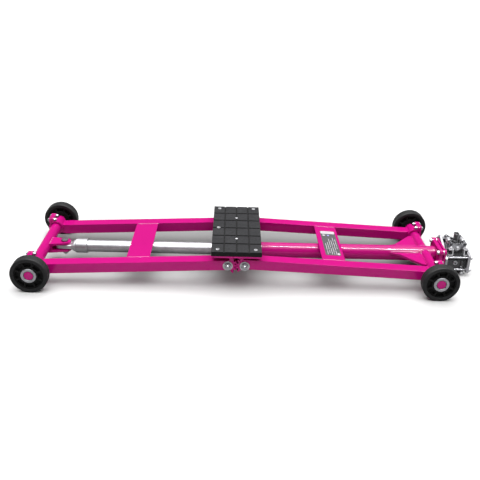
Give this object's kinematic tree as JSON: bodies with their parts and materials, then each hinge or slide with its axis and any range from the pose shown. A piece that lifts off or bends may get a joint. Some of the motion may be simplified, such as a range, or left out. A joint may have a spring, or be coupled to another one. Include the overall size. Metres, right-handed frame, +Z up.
{
  "type": "car jack",
  "caption": "Low-profile hydraulic lift jack on four wheels: two hinged arm frames meet at a geared, rubber-topped saddle and a lying ram draws the axles together.",
  "frame": {"origin": "on the ground, under the centre of the jack's bounding box", "axes": "+X along the jack from the free axle towards the pump, +Y across it, +Z up"},
  "size_m": [1.2712, 0.392, 0.1142],
  "materials": {
    "pink_paint": "glossy powder coat",
    "zinc_steel": "zinc plated",
    "polished_rod": "polished",
    "cast_aluminium": "cast and machined",
    "black_metal": "satin black",
    "pad_rubber": "matt moulded",
    "tread_rubber": "matt solid tyre",
    "wheel_core": "moulded"
  },
  "bodies": {
    "chassis": {"ram_cylinder": "pink_paint", "ram_gland": "zinc_steel", "cylinder_flange": "pink_paint", "axle_right_near": "pink_paint", "axle_right_far": "pink_paint", "gusset_near": "pink_paint", "gusset_far": "pink_paint", "pump_flange": "pink_paint", "pump_front_plate": "cast_aluminium", "pump_body": "black_metal", "pump_end_plate": "cast_aluminium", "valve_block": "cast_aluminium", "port_plug": "zinc_steel", "tie_rod_near_low": "zinc_steel", "tie_rod_near_high": "zinc_steel", "tie_rod_far_low": "zinc_steel", "tie_rod_far_high": "zinc_steel"},
    "right_arm": {"rail_right_near": "pink_paint", "rail_right_far": "pink_paint", "cross_plate_right": "pink_paint", "bearing_housing_right_near": "pink_paint", "bearing_housing_right_far": "pink_paint", "bearing_cap_right_near": "pink_paint", "bearing_cap_right_far": "pink_paint"},
    "saddle": {"saddle_plate": "pink_paint", "rubber_pad": "pad_rubber", "saddle_cheek_near": "pink_paint", "saddle_cheek_far": "pink_paint", "pivot_bolt_left_near": "zinc_steel", "pivot_bolt_left_far": "zinc_steel", "pivot_bolt_right_near": "zinc_steel", "pivot_bolt_right_far": "zinc_steel"},
    "left_arm": {"rail_left_near": "pink_paint", "rail_left_far": "pink_paint", "cross_plate_left": "pink_paint", "bearing_housing_left_near": "pink_paint", "bearing_housing_left_far": "pink_paint", "bearing_cap_left_near": "pink_paint", "bearing_cap_left_far": "pink_paint"},
    "free_axle": {"axle_left": "pink_paint", "clevis": "pink_paint", "clevis_pin": "zinc_steel", "rod_eye": "zinc_steel", "rod_collar": "zinc_steel", "ram_rod": "polished_rod"},
    "wheel_left_near": {"tyre_left_near": "tread_rubber", "hub_left_near": "wheel_core"},
    "wheel_left_far": {"tyre_left_far": "tread_rubber", "hub_left_far": "wheel_core"},
    "wheel_right_near": {"tyre_right_near": "tread_rubber", "hub_right_near": "wheel_core"},
    "wheel_right_far": {"tyre_right_far": "tread_rubber", "hub_right_far": "wheel_core"},
    "rocker": {"pump_rocker": "zinc_steel", "lever_socket": "black_metal"},
    "plunger_front": {"plunger_front": "zinc_steel"},
    "plunger_rear": {"plunger_rear": "zinc_steel"},
    "release": {"release_screw": "zinc_steel"}
  },
  "joints": [
    {"name": "arm_fold", "type": "hinge", "parent": "chassis", "child": "right_arm", "pos_m": [0.5044, 0, 0.05], "axis": [0, 1, 0], "range_deg": [0, 35]},
    {"name": "saddle_level", "type": "hinge", "parent": "right_arm", "child": "saddle", "pos_m": [-0.01785, 0, 0.067], "axis": [0, 1, 0], "range_deg": [-35, 0]},
    {"name": "left_arm_fold", "type": "hinge", "parent": "saddle", "child": "left_arm", "pos_m": [-0.06335, 0, 0.067], "axis": [0, 1, 0], "range_deg": [-35, 0]},
    {"name": "free_axle_level", "type": "hinge", "parent": "left_arm", "child": "free_axle", "pos_m": [-0.5856, 0, 0.05], "axis": [0, 1, 0], "range_deg": [0, 35]},
    {"name": "roll_left_near", "type": "hinge", "parent": "free_axle", "child": "wheel_left_near", "pos_m": [-0.5856, -0.182, 0.05], "axis": [0, 1, 0], "continuous": true},
    {"name": "roll_left_far", "type": "hinge", "parent": "free_axle", "child": "wheel_left_far", "pos_m": [-0.5856, 0.182, 0.05], "axis": [0, 1, 0], "continuous": true},
    {"name": "roll_right_near", "type": "hinge", "parent": "chassis", "child": "wheel_right_near", "pos_m": [0.5044, -0.182, 0.05], "axis": [0, 1, 0], "continuous": true},
    {"name": "roll_right_far", "type": "hinge", "parent": "chassis", "child": "wheel_right_far", "pos_m": [0.5044, 0.182, 0.05], "axis": [0, 1, 0], "continuous": true},
    {"name": "pump_rock", "type": "hinge", "parent": "chassis", "child": "rocker", "pos_m": [0.5918, 0, 0.078], "axis": [0, 1, 0], "range_deg": [-12, 12]},
    {"name": "front_stroke", "type": "slide", "parent": "chassis", "child": "plunger_front", "axis": [0, 0, 1], "range_m": [-0.0042, 0.0042]},
    {"name": "rear_stroke", "type": "slide", "parent": "chassis", "child": "plunger_rear", "axis": [0, 0, 1], "range_m": [-0.0042, 0.0042]},
    {"name": "release_turn", "type": "hinge", "parent": "chassis", "child": "release", "pos_m": [0.6094, -0.043, 0.0072], "axis": [0, 1, 0], "range_deg": [0, 270]}
  ],
  "couplings": [
    {"joint": "saddle_level", "follows": "arm_fold", "ratio": -1},
    {"joint": "left_arm_fold", "follows": "arm_fold", "ratio": -1},
    {"joint": "free_axle_level", "follows": "arm_fold", "ratio": 1},
    {"joint": "front_stroke", "follows": "pump_rock", "m_per_rad": 0.0198},
    {"joint": "rear_stroke", "follows": "pump_rock", "m_per_rad": -0.0198}
  ]
}
